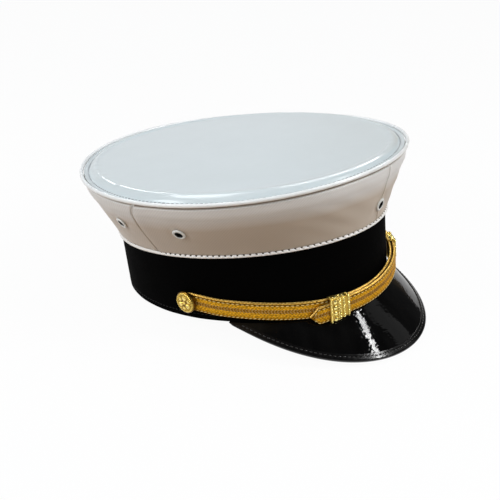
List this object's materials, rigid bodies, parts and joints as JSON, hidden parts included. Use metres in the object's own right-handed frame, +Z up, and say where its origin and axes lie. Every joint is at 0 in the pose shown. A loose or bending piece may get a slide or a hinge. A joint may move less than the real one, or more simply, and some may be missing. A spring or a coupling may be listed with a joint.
{
  "type": "peaked cap",
  "caption": "Dress cap with an oval black band, flared white crown with vents, sloping patent visor, and a gold front strap that swings on side buttons and carries sliding loops.",
  "frame": {"origin": "on the surface the cap stands on, under the middle of its outline", "axes": "+Z up, -Y the way the visor points, -X the wearer's right; the cap stands on the back of its band and the tip of its visor"},
  "size_m": [0.2298, 0.2734, 0.1272],
  "materials": {
    "white_vinyl_top": "glossy white vinyl",
    "white_vinyl": "glossy white vinyl with a fine grain",
    "white_welt": "glossy white vinyl piping",
    "white_enamel": "white enamel",
    "steel": "plain bright steel",
    "stiff_board": "matte",
    "lining_cloth": "plain woven lining",
    "clear_sheet": "clear",
    "black_felt": "black felt",
    "sweat_leather": "smooth dark leather",
    "black_patent": "black patent",
    "underlay_cloth": "dull cloth",
    "gold_lace": "gold lace weave",
    "gold_slide": "bright gold",
    "gold_metal": "bright gold"
  },
  "bodies": {
    "cap": {"crown_top": "white_vinyl_top", "crown_welt": "white_welt", "quarter_front_right": "white_vinyl", "quarter_front_left": "white_vinyl", "quarter_rear_right": "white_vinyl", "quarter_rear_left": "white_vinyl", "crown_spring_ring": "steel", "spring_ring_sleeve": "steel", "front_stay": "stiff_board", "crown_lining": "lining_cloth", "lining_shield": "clear_sheet", "vent_eyelet_side_right": "white_enamel", "vent_eyelet_side_left": "white_enamel", "vent_eyelet_rear_right": "white_enamel", "vent_eyelet_rear_left": "white_enamel", "vent_washer_side_right": "steel", "vent_washer_side_left": "steel", "vent_washer_rear_right": "steel", "vent_washer_rear_left": "steel", "badge_eyelet": "white_enamel", "badge_washer": "steel", "band_cover": "black_felt", "band_frame": "stiff_board", "sweatband": "sweat_leather", "sweatband_reed": "sweat_leather", "visor_top": "black_patent", "visor_board": "stiff_board", "visor_underlay": "underlay_cloth", "visor_binding": "black_patent", "button_nut_right": "steel", "button_nut_left": "steel"},
    "strap": {"strap_right": "gold_lace", "strap_left": "gold_lace"},
    "slide_right_loop": {"slide_right": "gold_slide"},
    "slide_left_loop": {"slide_left": "gold_slide"},
    "button_right_turner": {"button_right": "gold_metal", "button_back_right": "gold_metal"},
    "button_left_turner": {"button_left": "gold_metal", "button_back_left": "gold_metal"}
  },
  "joints": [
    {"name": "strap_swing", "type": "hinge", "parent": "cap", "child": "strap", "pos_m": [0, -0.00693, 0.02988], "axis": [-1, 0, 0], "range_deg": [0, 5]},
    {"name": "slide_right_travel", "type": "hinge", "parent": "strap", "child": "slide_right_loop", "pos_m": [0.00283, -0.02511, 0.04695], "axis": [-0.1342, -0.0892, 0.9869], "range_deg": [-1, 6]},
    {"name": "slide_left_travel", "type": "hinge", "parent": "strap", "child": "slide_left_loop", "pos_m": [-0.01003, -0.01722, 0.01812], "axis": [-0.1144, 0.2129, 0.9704], "range_deg": [-4, 4]},
    {"name": "button_right_turn", "type": "hinge", "parent": "cap", "child": "button_right_turner", "pos_m": [-0.09, -0.00693, 0.02988], "axis": [-1, 0, 0], "continuous": true},
    {"name": "button_left_turn", "type": "hinge", "parent": "cap", "child": "button_left_turner", "pos_m": [0.09, -0.00693, 0.02988], "axis": [1, 0, 0], "continuous": true}
  ]
}
